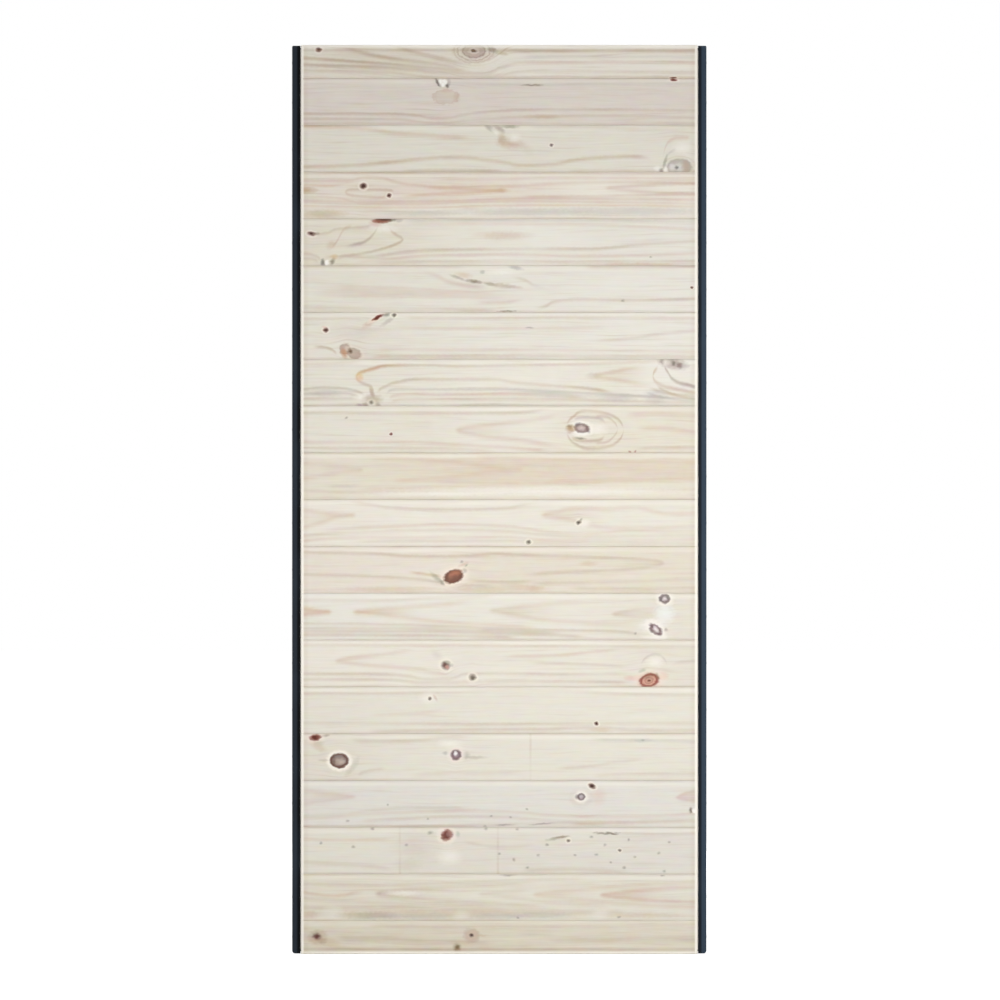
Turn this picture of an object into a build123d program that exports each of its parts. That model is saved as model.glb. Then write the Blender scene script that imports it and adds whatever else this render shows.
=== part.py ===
from build123d import *
import os

# Sliding door leaf: horizontal pine boards, tongued and grooved, held at both ends by folded steel channels.
# Millimetres. The origin is the middle of the leaf's flat top edge, where its hangers are screwed on.
# +Z is up, +X runs along the boards and the front face looks towards -Y.

# Leaf
leaf_width = 930.0
leaf_height = 2040.0
leaf_thickness = 40.0
edge_ease = 2.0  # chamfer along the top and bottom edges of the wood

# Boards, stacked from the top edge down, with the outer two ripped to make up the height
board_cover = 105.0  # from joint to joint
top_board_height = 75.0
bottom_board_least = 60.0  # a narrower strip is left to the board above
joint_gap = 0.2  # open joint between two faces, room for the wood to move
joint_ease = 0.8

# Tongue on each upper edge, groove in each lower edge
tongue_thickness = 10.0
tongue_height = 8.0
tongue_lead = 1.0
groove_clearance = 0.25

# Folded steel channels
channel_wall = 3.0
channel_leg = 19.0
channel_bend_radius = 1.5  # inside the fold
channel_lip_radius = 0.8
channel_setback = 2.0  # the steel stops short of the wood's top and bottom edges
channel_top_corner = 3.0
channel_bottom_corner = 7.0

# Board ends: an eased shoulder, then a tenon that slides into the channel
shadow_gap = 1.0  # between the wood's shoulder and the channel's lip
shoulder_ease = 1.5
tenon_clearance = 0.25
tenon_end_gap = 1.0
tenon_lead = 2.0
haunch_height = 10.0  # the outer boards' tenons stop this far from the leaf's edge

# Groove for the floor guide, along the bottom edge
guide_groove_width = 10.0
guide_groove_depth = 18.0

# Places that follow from these sizes
face_half = leaf_width / 2 - channel_leg - shadow_gap
tenon_half = leaf_width / 2 - channel_wall - tenon_end_gap
tenon_half_thickness = leaf_thickness / 2 - channel_wall - tenon_clearance
groove_depth = tongue_height - joint_gap  # the tongue's tip bears on the bottom of the groove
channel_height = leaf_height - 2 * channel_setback
ripped_height = top_board_height + bottom_board_least
full_boards = int((leaf_height - ripped_height) // board_cover)
joints = [-(top_board_height + board_cover * count) for count in range(full_boards + 1)]


# Board ends as seen from above, the same for every board
with BuildSketch(Plane.XY) as board_plan:
    with BuildLine():
        Polyline(
            (0, -leaf_thickness / 2),
            (face_half - shoulder_ease, -leaf_thickness / 2),
            (face_half, shoulder_ease - leaf_thickness / 2),
            (face_half, -tenon_half_thickness),
            (tenon_half - tenon_lead, -tenon_half_thickness),
            (tenon_half, tenon_lead - tenon_half_thickness),
            (tenon_half, 0),
        )
        mirror(about=Plane.XZ)
        mirror(about=Plane.YZ)
    make_face()

# Where the tenons of the two outer boards are cut back from the leaf's edges
with BuildSketch(Plane.XZ) as haunches:
    with Locations((0, -leaf_height / 2)):
        with GridLocations(leaf_width, leaf_height, 2, 2):
            Rectangle(leaf_width - 2 * face_half, 2 * haunch_height)

# Section of the floor guide's groove, which runs through the bottom board and both channels
with BuildSketch(Plane.YZ) as guide_groove:
    with Locations((0, -leaf_height)):
        Rectangle(guide_groove_width, guide_groove_depth, align=(Align.CENTER, Align.MIN))


def make_board(low, high):
    """A board whose faces reach from low to high. An edge on the outline of the leaf has no tongue or groove."""
    has_tongue = high < 0
    has_groove = low > -leaf_height
    with BuildPart() as board:
        with BuildSketch(Plane.YZ) as section:
            with Locations((0, low)):
                Rectangle(leaf_thickness, high - low, align=(Align.CENTER, Align.MIN))
            chamfer(section.vertices().group_by(Axis.Y)[-1], joint_ease if has_tongue else edge_ease)
            chamfer(section.vertices().group_by(Axis.Y)[0], joint_ease if has_groove else edge_ease)
            if has_tongue:
                with Locations((0, high)):
                    Rectangle(tongue_thickness, tongue_height, align=(Align.CENTER, Align.MIN))
                chamfer(section.vertices().group_by(Axis.Y)[-1], tongue_lead)
            if has_groove:
                with Locations((0, low)):
                    Rectangle(
                        tongue_thickness + 2 * groove_clearance,
                        groove_depth,
                        align=(Align.CENTER, Align.MIN),
                        mode=Mode.SUBTRACT,
                    )
        extrude(amount=leaf_width / 2, both=True)
        extrude(board_plan.sketch, amount=leaf_height, both=True, mode=Mode.INTERSECT)
        if not (has_tongue and has_groove):
            extrude(haunches.sketch, amount=leaf_thickness, both=True, mode=Mode.SUBTRACT)
        if not has_groove:
            extrude(guide_groove.sketch, amount=leaf_width, both=True, mode=Mode.SUBTRACT)
    return board


# Boards, from the top edge down
boards = {"top_board": make_board(joints[0] + joint_gap / 2, 0)}
for number, (above, below) in enumerate(zip(joints, joints[1:]), start=2):
    boards[f"board_{number:02d}"] = make_board(below + joint_gap / 2, above - joint_gap / 2)
boards["bottom_board"] = make_board(-leaf_height, joints[-1] - joint_gap / 2)

# Channels: a folded U that opens towards the wood, with rounded outer corners at its ends
with BuildPart() as right_channel:
    with BuildSketch(Plane.XY.offset(channel_setback - leaf_height)) as fold:
        with Locations((leaf_width / 2, 0)):
            Rectangle(channel_leg, leaf_thickness, align=(Align.MAX, Align.CENTER))
        with Locations((leaf_width / 2 - channel_wall, 0)):
            Rectangle(
                channel_leg,
                leaf_thickness - 2 * channel_wall,
                align=(Align.MAX, Align.CENTER),
                mode=Mode.SUBTRACT,
            )
        fillet(fold.vertices().group_by(Axis.X)[-2], channel_bend_radius)
        fillet(fold.vertices().group_by(Axis.X)[-1], channel_bend_radius + channel_wall)
        fillet(fold.vertices().group_by(Axis.X)[0], channel_lip_radius)
    extrude(amount=channel_height)
    with BuildSketch(Plane.XZ) as outline:
        with Locations((0, -leaf_height / 2)):
            Rectangle(leaf_width, channel_height)
        fillet(outline.vertices().group_by(Axis.Y)[-1], channel_top_corner)
        fillet(outline.vertices().group_by(Axis.Y)[0], channel_bottom_corner)
    extrude(amount=leaf_thickness, both=True, mode=Mode.INTERSECT)
    extrude(guide_groove.sketch, amount=leaf_width, both=True, mode=Mode.SUBTRACT)

with BuildPart() as left_channel:
    mirror(right_channel.part, about=Plane.YZ)

# One file for each piece
pieces = {**boards, "left_channel": left_channel, "right_channel": right_channel}
os.makedirs("parts", exist_ok=True)
for label, piece in pieces.items():
    piece.part.label = label
    export_step(piece.part, f"parts/{label}.step")
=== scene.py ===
import bmesh
import bpy
import math
from mathutils import Matrix, Vector


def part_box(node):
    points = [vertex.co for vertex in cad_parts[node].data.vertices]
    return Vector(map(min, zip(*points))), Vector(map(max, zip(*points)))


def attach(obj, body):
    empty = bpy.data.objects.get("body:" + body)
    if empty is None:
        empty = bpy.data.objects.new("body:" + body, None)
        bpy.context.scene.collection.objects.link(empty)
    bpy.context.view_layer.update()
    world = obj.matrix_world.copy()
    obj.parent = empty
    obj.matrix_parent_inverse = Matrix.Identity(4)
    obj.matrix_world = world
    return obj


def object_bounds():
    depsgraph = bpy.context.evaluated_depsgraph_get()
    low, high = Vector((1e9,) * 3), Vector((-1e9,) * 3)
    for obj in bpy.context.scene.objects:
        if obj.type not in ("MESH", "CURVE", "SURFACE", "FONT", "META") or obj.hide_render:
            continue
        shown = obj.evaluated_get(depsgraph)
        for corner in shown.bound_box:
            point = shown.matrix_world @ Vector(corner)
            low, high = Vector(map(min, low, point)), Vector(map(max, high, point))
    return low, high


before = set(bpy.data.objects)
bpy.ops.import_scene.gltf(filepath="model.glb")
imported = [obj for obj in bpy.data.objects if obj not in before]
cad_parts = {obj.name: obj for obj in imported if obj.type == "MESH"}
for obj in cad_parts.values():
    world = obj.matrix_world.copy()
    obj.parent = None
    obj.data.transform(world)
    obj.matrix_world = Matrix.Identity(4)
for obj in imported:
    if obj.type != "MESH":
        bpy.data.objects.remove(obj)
cad_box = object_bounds()


# Pine boards. Twenty planed softwood boards, tongued and grooved, lie across the leaf and are left
# raw. Each has its own year rings, knots, stains and specks. Its eased edges are paler fresh wood with a
# painted highlight over them, and its joints and ends carry painted shade.
# Places on a board are millimetres along it from its middle and up from its centre line.
class Shade:
    """A value in a material's node tree. Arithmetic on it adds Math nodes to the tree."""

    def __init__(self, tree, socket=None):
        self.tree, self.socket = tree, socket

    def node(self, kind, settings=None, sockets=None, output=0):
        """A new node, which gets its settings first and then the values or links of its sockets."""
        node = self.tree.nodes.new("ShaderNode" + kind)
        for name, value in (settings or {}).items():
            if name == "stops":
                stops = node.color_ramp.elements
                for place, colour in value[2:]:
                    stops.new(place)
                for stop, (place, colour) in zip(stops, sorted(value)):
                    stop.position, stop.color = place, colour
            elif name == "points":
                node.mapping.extend = "HORIZONTAL"
                bends = node.mapping.curves[0].points
                bends[0].location, bends[1].location = value[0], value[-1]
                for point in value[1:-1]:
                    bends.new(*point)
                for bend in bends:
                    bend.handle_type = "AUTO_CLAMPED"
                node.mapping.update()
            else:
                setattr(node, name, value)
        for place, value in (sockets or {}).items():
            if isinstance(value, Shade):
                self.tree.links.new(value.socket, node.inputs[place])
            else:
                node.inputs[place].default_value = value
        return Shade(self.tree, node.outputs[output])

    def out(self, name):
        """Another output of the node that gives this value."""
        return Shade(self.tree, self.socket.node.outputs[name])

    def math(self, operation, *values):
        return self.node("Math", {"operation": operation}, dict(enumerate((self, *values))))

    def __add__(self, other):
        return self.math("ADD", other)

    def __sub__(self, other):
        return self.math("SUBTRACT", other)

    def __rsub__(self, other):
        return self.node("Math", {"operation": "SUBTRACT"}, {0: other, 1: self})

    def __mul__(self, other):
        return self.math("MULTIPLY", other)

    def __truediv__(self, other):
        return self.math("DIVIDE", other)

    def __rtruediv__(self, other):
        return self.node("Math", {"operation": "DIVIDE"}, {0: other, 1: self})

    __radd__, __rmul__ = __add__, __mul__

    def smooth(self, low, high):
        """0 below low and 1 above high, or the other way round where high is the smaller."""
        return self.node("MapRange", {"interpolation_type": "SMOOTHSTEP"}, {0: self, 1: low, 2: high})

    def bent(self, points):
        """What a smooth curve through the points gives for this value."""
        (first, _), (last, _) = points[0], points[-1]
        low, high = min(y for _, y in points), max(y for _, y in points)
        spread = max(high - low, 0.001)
        placed = [((x - first) / (last - first), (y - low) / spread) for x, y in points]
        share = self.math("MULTIPLY_ADD", 1 / (last - first), -first / (last - first))
        return self.node("FloatCurve", {"points": placed}, {1: share}).math("MULTIPLY_ADD", spread, low)

    def mixed(self, other, share, blend="MIX"):
        """This colour, with a share of another colour over it."""
        settings = {"data_type": "RGBA", "blend_type": blend}
        return self.node("Mix", settings, {0: share, 6: self, 7: other}, 2)

    def between(self, first, second):
        """The colour at this share of the way from one colour to another."""
        return self.node("Mix", {"data_type": "RGBA"}, {0: self, 6: paint(first), 7: paint(second)}, 2)


def paint(code, opacity=1.0):
    """A colour written as #RRGGBB, as Blender's linear values, with an opacity."""
    levels = [int(code[start:start + 2], 16) / 255 for start in (1, 3, 5)]
    linear = [level / 12.92 if level <= 0.04045 else ((level + 0.055) / 1.055) ** 2.4 for level in levels]
    return (*linear, opacity)


def new_finish(name):
    """A material, its shader and the start of its node tree."""
    material = bpy.data.materials.new(name)
    material.use_nodes = True
    return material, material.node_tree.nodes["Principled BSDF"], Shade(material.node_tree)


def connect(surface, colour, roughness, relief, relief_depth, gloss):
    """Gives a shader its colour, its roughness, its relief with a depth in metres, and its gloss."""
    bump = relief.node("Bump", None, {"Strength": 0.3, "Distance": relief_depth, "Height": relief})
    for name, value in (("Base Color", colour), ("Roughness", roughness), ("Normal", bump)):
        value.tree.links.new(value.socket, surface.inputs[name])
    surface.inputs["Specular IOR Level"].default_value = gloss


def dress(name, material):
    """Gives a piece of the frame its material."""
    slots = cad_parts[name].data.materials
    slots.clear()
    slots.append(material)


def measured(low, high):
    """The distance from one place on the frame to another, in millimetres, to a tenth."""
    return round((high - low) * 1000, 1)


shadow_gap = 1.0  # between the wood's shoulders and the channels
board_half_length = measured(0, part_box("right_channel")[0][0]) - shadow_gap
board_thickness = measured(cad_box[0][1], cad_box[1][1])
leaf_height = measured(cad_box[0][2], cad_box[1][2])
# Width of the painted highlight along the eased edges at the outline of the wood, over paler fresh wood
highlight_margin = 6.0  # the paler, eased edge at the outline of the wood
ring_slant = 0.35  # how fast the year rings drift up or down with depth
seed_stride = 7.31  # keeps the noise of one board apart from the next

# Heights of the joints, from which each board's centre line follows
board_names = ["top_board", *(f"board_{number:02d}" for number in range(2, 20)), "bottom_board"]
first_joint, board_cover = 75.0, 105.0
joints = [0.0, *(-(first_joint + board_cover * count) for count in range(19)), -leaf_height]
joint_places = {name: (joints[row + 1], joints[row]) for row, name in enumerate(board_names)}

# Tints of the raw wood
bright, pale, cool = "#EDE7DB", "#EAE4D8", "#E8E4DA"
linen, mist, oat = "#E5E0D3", "#E2DED5", "#E3DCCC"
rosy, clay, dun = "#E6DDD0", "#E1D8CE", "#DDD5C3"
# Pale fresh wood: it lightens the grain, and along the eased edges it is a painted highlight over paler fresh
# wood
pale_wood_and_highlight = "#FFFAEF"  # where an edge was eased
# Painted shade, with a little dirt, in the joints and near the top and bottom of the leaf
shade_and_dirt_tone = "#A88B6E"

# Tones of the year rings; the brown is also the painted shade just inside the ends of each board
brown_and_shade, orange, pink, grey = "#B59A7F", "#C79A6C", "#C8A795", "#A79E93"

# Knots and marks by kind: how deep the mark goes, how ragged it is, how far it pushes the grain
# aside, and its colours from the middle outwards, with places in shares of its half size.
through = 900  # far deeper than a board, so the mark shows on both faces
marks = {
    "pin": (through, 0.4, 0.5, [
        (0, "#3E2723", 1), (0.45, "#50352F", 1), (0.95, "#94766A", 0.85), (1.25, "#E3CFC2", 0.6),
        (1.55, "#F8F1E6", 0.65), (2, "#F6EEE2", 0),
    ]),
    "grey_pin": (through, 0.5, 0.5, [
        (0, "#6C635A", 1), (0.5, "#82786D", 0.95), (0.95, "#B3A899", 0.7), (1.3, "#F8F1E2", 0.6),
        (2, "#F6EEE0", 0),
    ]),
    "eye_knot": (through, 0.6, 0.4, [
        (0, "#5B4A3F", 1), (0.16, "#6B584C", 1), (0.3, "#DACDC2", 1), (0.42, "#D4C6BA", 1),
        (0.55, "#C4B2A6", 1), (0.78, "#C9B8AC", 1), (0.92, "#AE9A8D", 0.95), (1.05, "#D8CDBE", 0.9),
        (1.2, "#E3DBCD", 0.85), (1.35, "#C0AE98", 0.8), (1.5, "#E0D8C8", 0.7), (1.66, "#C6B59E", 0.6),
        (1.85, "#DDD3C2", 0.3), (2, "#DDD3C2", 0),
    ]),
    "grey_eye": (through, 0.3, 0.4, [
        (0, "#D8D4CE", 1), (0.35, "#D5CFC8", 1), (0.55, "#C8C0B8", 0.95), (0.75, "#BDB2AA", 0.9),
        (0.92, "#AEA39A", 0.8), (1.15, "#E4DED2", 0.5), (1.3, "#CFC2B0", 0.4), (1.5, "#E4DED2", 0.2),
        (1.7, "#E4DED2", 0),
    ]),
    "red_knot": (through, 0.4, 0.5, [
        (0, "#A87860", 1), (0.5, "#9C6E59", 1), (0.78, "#7F5546", 1), (0.93, "#67453A", 0.95),
        (1.08, "#C3A593", 0.8), (1.22, "#F5E8DB", 0.9), (1.5, "#F2E6D8", 0.5), (2, "#F2E6D8", 0),
    ]),
    "ringed_knot": (through, 0.35, 0.5, [
        (0, "#6E443A", 1), (0.13, "#835445", 1), (0.26, "#C99C8A", 1), (0.42, "#B98777", 1),
        (0.54, "#D2A593", 1), (0.66, "#C5917F", 1), (0.8, "#8F4A40", 1), (0.95, "#9E6254", 0.9),
        (1.12, "#E8CBB9", 0.7), (1.35, "#EFDDCD", 0.45), (2, "#EFE3D6", 0),
    ]),
    "grey_knot": (through, 0.4, 0.5, [
        (0, "#B8A59C", 1), (0.4, "#AE9A91", 1), (0.62, "#99847D", 1), (0.82, "#63463E", 1),
        (0.94, "#7A5C50", 0.95), (1.1, "#FBF5E9", 1), (1.3, "#F8F1E3", 0.8), (1.55, "#E6DFCD", 0.4),
        (2, "#E6DFCD", 0),
    ]),
    "ball_knot": (through, 0.3, 0.5, [
        (0, "#BBA8AA", 1), (0.35, "#A08A8D", 1), (0.72, "#7A6265", 1), (0.95, "#8E7775", 0.85),
        (1.2, "#F2E2DA", 0.8), (1.5, "#F2E8DE", 0.45), (2, "#F2E8DE", 0),
    ]),
    "hollow_knot": (through, 0.5, 0.5, [
        (0, "#E6DDDE", 1), (0.28, "#D3C8C8", 1), (0.62, "#857977", 1), (0.88, "#867A77", 0.9),
        (1.15, "#F8F2E8", 0.85), (1.5, "#F4F0E6", 0.5), (2, "#F4F0E6", 0),
    ]),
    "pink_knot": (through, 0.6, 0.5, [
        (0, "#D2C2C0", 1), (0.42, "#C2B0AD", 1), (0.7, "#968380", 1), (0.9, "#9E8B88", 0.9),
        (1.14, "#F6F0E8", 0.85), (1.45, "#F6F0E6", 0.6), (2, "#F6F0E6", 0),
    ]),
    "dome": (30, 1.2, 0.3, [
        (0, "#D2C7B4", 0.5), (0.75, "#D0C4B1", 0.5), (0.95, "#C9B3A2", 0.5), (1.15, "#DDD2C2", 0),
    ]),
    "body": (through, 0.8, 0.4, [
        (0, "#BCA79C", 0.85), (0.65, "#B7A195", 0.85), (0.88, "#AA9386", 0.75), (1.2, "#E8DDCE", 0.4),
        (1.6, "#E8DDCE", 0),
    ]),
    "slit": (through, 0.9, 0.4, [
        (0, "#582A22", 1), (0.5, "#6A352B", 1), (0.9, "#A9776A", 0.85), (1.2, "#F2E2D6", 0.75),
        (1.6, "#F4E9DD", 0.4), (2, "#F4E9DD", 0),
    ]),
    "bark": (14, 0.5, 0.0, [
        (0, "#8F5B4C", 1), (0.55, "#976352", 1), (0.9, "#AE8273", 0.9), (1.25, "#DCC6B8", 0),
    ]),
    "scar": (8, 2.5, 0.0, [(0, "#857768", 0.8), (0.6, "#93877A", 0.6), (1.2, "#B5A99B", 0)]),
    "smudge": (14, 0.8, 0.0, [(0, "#CFB697", 0.5), (0.6, "#D1BCA2", 0.42), (1.4, "#D9CBB8", 0)]),
    "stain": (12, 0.8, 0.0, [(0, "#BDB9B0", 0.45), (0.6, "#BFBAB2", 0.38), (1.4, "#CFCBC3", 0)]),
    "shade": (25, 0.8, 0.0, [(0, "#CFC0B5", 0.4), (0.5, "#D2C5BB", 0.3), (1.4, "#DAD0C6", 0)]),
    "bloom": (20, 0.8, 0.0, [(0, "#F4F0E7", 0.8), (0.6, "#F3EEE4", 0.55), (1.4, "#F0EBE1", 0)]),
    "chip": (5, 0.8, 0.0, [(0, "#FFFDF8", 1), (0.6, "#FBF7EF", 0.95), (1.1, "#E9E2D7", 0)]),
    # Painted shade at the broken edges of a chip
    "torn": (5, 1.0, 0.0, [(0, "#655A51", 0.95), (0.55, "#7C7067", 0.8), (1.2, "#B5AA9D", 0)]),
    "speck": (6, 0.8, 0.0, [(0, "#877E73", 0.65), (0.55, "#9C9488", 0.4), (1.2, "#C5BDB0", 0)]),
}


def wash(code, opacity, *place):
    """A soft patch of one colour."""
    return (12, 0.8, 0.0, ((0, code, opacity), (0.5, code, opacity * 0.8), (1.25, code, 0))), *place


def specks(half_long, half_high, *places):
    """Level specks of one size."""
    return [("speck", across, above, half_long, half_high) for across, above in places]


def line(strength, width, *points, tone=brown_and_shade, fade=(40, 40)):
    """A year ring that shows on the face: its tone fades in and out at the ends of the points."""
    return "line", strength, width, points, tone, fade


def fill(strength, above, below, span, tone=brown_and_shade):
    """Darker wood between two lines, which comes up over the first two places of its span and goes
    over the last two."""
    return "fill", strength, above, below, tone, span


def tone_over(strength, span, tone=brown_and_shade):
    """A tone over the whole height of a board."""
    return fill(strength, [(-446, 60), (446, 60)], [(-446, -60), (446, -60)], span, tone)


def tongue(strength, width, tip, above, below, tone=brown_and_shade, inside=0.2):
    """A ring that closes in a tip: lines over it and under it leave from the tip, with darker wood inside."""
    order = 1 if above[-1][0] > tip[0] else -1
    upper, lower = ([tip, *side][::order] for side in (above, below))
    fade = (14, 70)[::order]
    reach = [tip[0] + order * step for step in (-12, 6, 30, 170)][::order]
    return [
        fill(inside, upper, lower, reach, tone),
        *(line(strength, width, *side, tone=tone, fade=fade) for side in (upper, lower)),
    ]


def pine(name, seed, left, right, grain, figure, spots, bow=None, seams=()):
    """Finishes one board between its two tints. Grain says how plainly its fine grain shows, figure holds
    its larger lines, bow the course of its grain, seams its finger joints, and spots its marks, each
    with its kind, its place, its half size and, where it doesn't lie level, its tilt."""
    board_low, board_high = joint_places[name]
    half_height = (board_high - board_low) / 2
    material, surface, start = new_finish("pine_" + name)

    place = start.node("SeparateXYZ", None, {0: start.node("TexCoord", output="Object")})
    along = place * 1000
    up = place.out("Z") * 1000 - (board_low + board_high) / 2
    depth = place.out("Y") * 1000 + board_thickness / 2
    over_lower, under_upper = up + half_height, half_height - up  # distances from the board's two edges
    from_end = board_half_length - along.math("ABSOLUTE")

    def noise(lengths, detail, offset, level=up):
        across, upwards, inwards = lengths
        spot = start.node("CombineXYZ", None, {
            0: along * (1 / across) + (seed * seed_stride + offset),
            1: level * (1 / upwards),
            2: depth * (1 / inwards),
        })
        return start.node("TexNoise", None, {"Vector": spot, "Scale": 1.0, "Detail": detail})

    drift = noise((210, 42, 60), 2.0, 0.0)
    parts = start.node("SeparateColor", None, {0: drift.out("Color")})
    lively = parts.out("Green").smooth(0.32, 0.7)
    fibre = noise((60, 1.3, 1.3), 2.0, 3.0)
    crumb = noise((8, 5, 7), 0.6, 5.0)
    blotch = noise((36, 15, 30), 3.0, 12.0)

    # Fine grain, which flows around the knots
    height = up + depth * ring_slant
    course = height + (parts - 0.5) * 16
    if bow:
        course = course - along.bent(bow)
    stir = along * 0
    for kind, across, above, half_long, half_high, *_ in spots:
        push = marks.get(kind, kind)[2]
        if push and half_long > 5:
            reach = (along - across) * (1 / (2.2 * half_long))
            nearness = 1 / (1 + reach * reach)
            nearness = nearness * nearness
            away = (up - above) * (1 / (1.2 * half_high))
            course = course - 2.4 * half_high * push * nearness * away / (1 + away * away)
            stir = stir.math("MAXIMUM", nearness / (1 + 0.2 * away * away))
    streak = noise((170, 5.5, 40), 2.0, 9.0, course)
    colour = (along * (0.4 / board_half_length) + parts.out("Blue")).smooth(0.1, 0.9).between(left, right)
    colour = colour.mixed(paint(brown_and_shade), streak.smooth(0.5, 0.85) * (stir * 0.3 + grain))
    colour = colour.mixed(paint(pale_wood_and_highlight), streak.smooth(0.5, 0.15) * (stir * 0.3 + 0.7 * grain))

    # Rings that stand out, and darker wood between them
    wander = lively * 0.55 + 0.5
    level = height + (parts - 0.5) * 3 + (crumb - 0.5) * 2.5
    for shape, strength, *form, tone, reach in figure:
        if shape == "line":
            width, points = form
            first, last = points[0][0], points[-1][0]
            fade_in, fade_out = reach
            off = level - along.bent(points)
            shown = off.smooth(-2.6 * width, 0.2 * width) * off.smooth(2.2 * width, -0.2 * width) * wander
            if first > -board_half_length:
                shown = shown * along.smooth(first, first + fade_in)
            if last < board_half_length:
                shown = shown * along.smooth(last, last - fade_out)
        else:
            above, below = form
            shown = (level - along.bent(below)).smooth(-3, 4) * (along.bent(above) - level).smooth(-3, 4)
            shown = shown * along.smooth(*reach[:2]) * along.smooth(*reach[:1:-1])
        colour = colour.mixed(paint(tone), shown * strength)

    # Finger joints, glued where two lengths of wood meet
    for seam in seams:
        glue_line = (along - seam).math("ABSOLUTE").smooth(4.5, 0.5)
        colour = colour.mixed(paint(brown_and_shade), glue_line * (lively * 0.14 + 0.06))

    # A painted highlight along the upper edge of a board, where its eased edge faces up into the light, over
    # paler fresh wood
    if name != "top_board":
        eased_highlight = under_upper.smooth(16, 8)
        if name != "bottom_board":
            eased_highlight = eased_highlight * under_upper.smooth(2, 7)
        colour = colour.mixed(paint(pale_wood_and_highlight), eased_highlight * (lively * 0.15 + 0.18))

    # Knots, stains, scars and specks, all a little out of shape, with painted shade at the edges of chips
    face = start.node("CombineXYZ", None, {0: along - 2, 1: up - 1.75, 2: depth})
    jitter = {0: crumb.out("Color"), 1: (4, 3.5, 0), 2: face}
    face = start.node("VectorMath", {"operation": "MULTIPLY_ADD"}, jitter)
    uneven = start.node("SeparateColor", None, {0: crumb.out("Color")}).out("Blue") - 0.5
    for kind, across, above, half_long, half_high, *tilt in spots:
        deep, ragged, _, stops = marks.get(kind, kind)
        inside = start.node("Mapping", {"vector_type": "TEXTURE"}, {
            "Vector": face,
            "Location": (across, above, 0),
            "Rotation": (0, 0, math.radians(sum(tilt))),
            "Scale": (2 * half_long, 2 * half_high, 2 * deep),
        })
        reach = start.node("VectorMath", {"operation": "LENGTH"}, {0: inside}, "Value")
        ramp = [(place / 2, paint(*shade)) for place, *shade in stops]
        shades = start.node("ValToRGB", {"stops": ramp}, {0: uneven.math("MULTIPLY_ADD", ragged / 4, reach)})
        colour = colour.mixed(shades, shades.out("Alpha"))

    # Painted shade with a little dirt along the joints and in bands near the top and bottom of the leaf,
    # painted shade just inside the ends of the board, and a painted highlight on the bare, eased edges at
    # the outline of the wood, over paler fresh wood
    highlight_near_face = (depth - board_thickness / 2).math("ABSOLUTE").smooth(14, 18) * 0.7 + 0.3
    if name == "top_board":
        rim_highlight = under_upper.smooth(highlight_margin + 3, 3) * highlight_near_face * 0.75
        shade_and_dirt = over_lower.smooth(7, 1) + under_upper.smooth(18, 12) * under_upper.smooth(7, 12) * 1.6
    elif name == "bottom_board":
        rim_highlight = over_lower.smooth(highlight_margin + 3, 3) * highlight_near_face * 0.9
        shade_and_dirt = over_lower.smooth(17, 11) * over_lower.smooth(6, 11) * 1.8
    else:
        rim_highlight = along * 0
        shade_and_dirt = over_lower.smooth(7, 1) + under_upper.smooth(5, 1) * 0.8
    colour = colour.mixed(paint(shade_and_dirt_tone), shade_and_dirt * (lively * 0.14 + 0.1))
    # Painted shade in a band just inside each end of the board, next to the channel
    colour = colour.mixed(paint(brown_and_shade), from_end.smooth(20, 11) * from_end.smooth(4, 9) * 0.12)
    # A painted highlight on the eased ends and outline of the wood, over paler fresh wood
    bare_highlight = from_end.smooth(highlight_margin + 2, highlight_margin - 2) * 0.95
    colour = colour.mixed(paint(pale_wood_and_highlight), bare_highlight.math("MAXIMUM", rim_highlight * (lively * 0.5 + 0.6)))

    # Blotches of warmer and cooler wood, and the fibres over everything
    colour = colour.mixed(blotch.out("Color"), 0.16, "OVERLAY")
    colour = colour.mixed((fibre - 0.5) * 0.14 + 0.5, 1.0, "OVERLAY")

    roughness = 0.64 + (fibre - 0.5) * 0.2 + (streak - 0.5) * 0.1
    connect(surface, colour, roughness, fibre, 0.0003, 0.2)
    dress(name, material)


pine("top_board", 1, bright, bright, 0.4, figure=[
    line(0.76, 3, (-445, 9), (-330, 1), (-220, -8), (-120, -17), (-60, -21)),
    line(0.72, 3.5, (-360, 33), (-325, 25), (-270, 12), (-190, 0), (-120, -9), (-75, -16)),
    line(0.62, 3.5, (-240, 34), (-195, 22), (-150, 12), (-110, 3), (-70, -5)),
    line(0.64, 3, (-445, -7), (-330, -10), (-200, -17), (-130, -24), (-50, -26), (0, -14), (45, -3)),
    line(0.56, 3.5, (-20, 24), (60, 24), (200, 24), (445, 23)),
    line(0.48, 3, (10, -10), (50, -2), (120, -2), (300, -1), (445, -2), tone=pink),
    line(0.28, 3, (40, 10), (200, 12), (445, 10), tone=grey),
    line(0.32, 3, (-445, -20), (-250, -24), (-120, -34), (0, -30), (80, -22), (445, -24)),
    line(0.4, 3, (-200, -35), (0, -36), (200, -34), (445, -36)),
    line(0.5, 1.2, (-445, 41), (-150, 42), (200, 41.5), (445, 42)),
    line(0.45, 1.4, (-445, 45), (-100, 44), (150, 45.5), (445, 45), tone=pink),
    line(0.5, 1.3, (-445, 48), (-200, 49), (100, 48.5), (445, 49.5)),
], spots=[
    wash("#C4B599", 0.3, -270, -4, 230, 50), ("eye_knot", -57, 24, 27, 16),
    wash("#7D6A57", 0.6, -15, 26, 13, 6, -25), wash("#B79A78", 0.45, 6, 19, 14, 5, -15),
    ("pin", -405, 27, 6, 5), ("slit", 391, -36.5, 8, 2),
], bow=[(-445, 14), (-320, 3), (-200, -10), (-110, -22), (-50, -27), (0, -15), (45, -2), (445, 0)])
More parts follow.
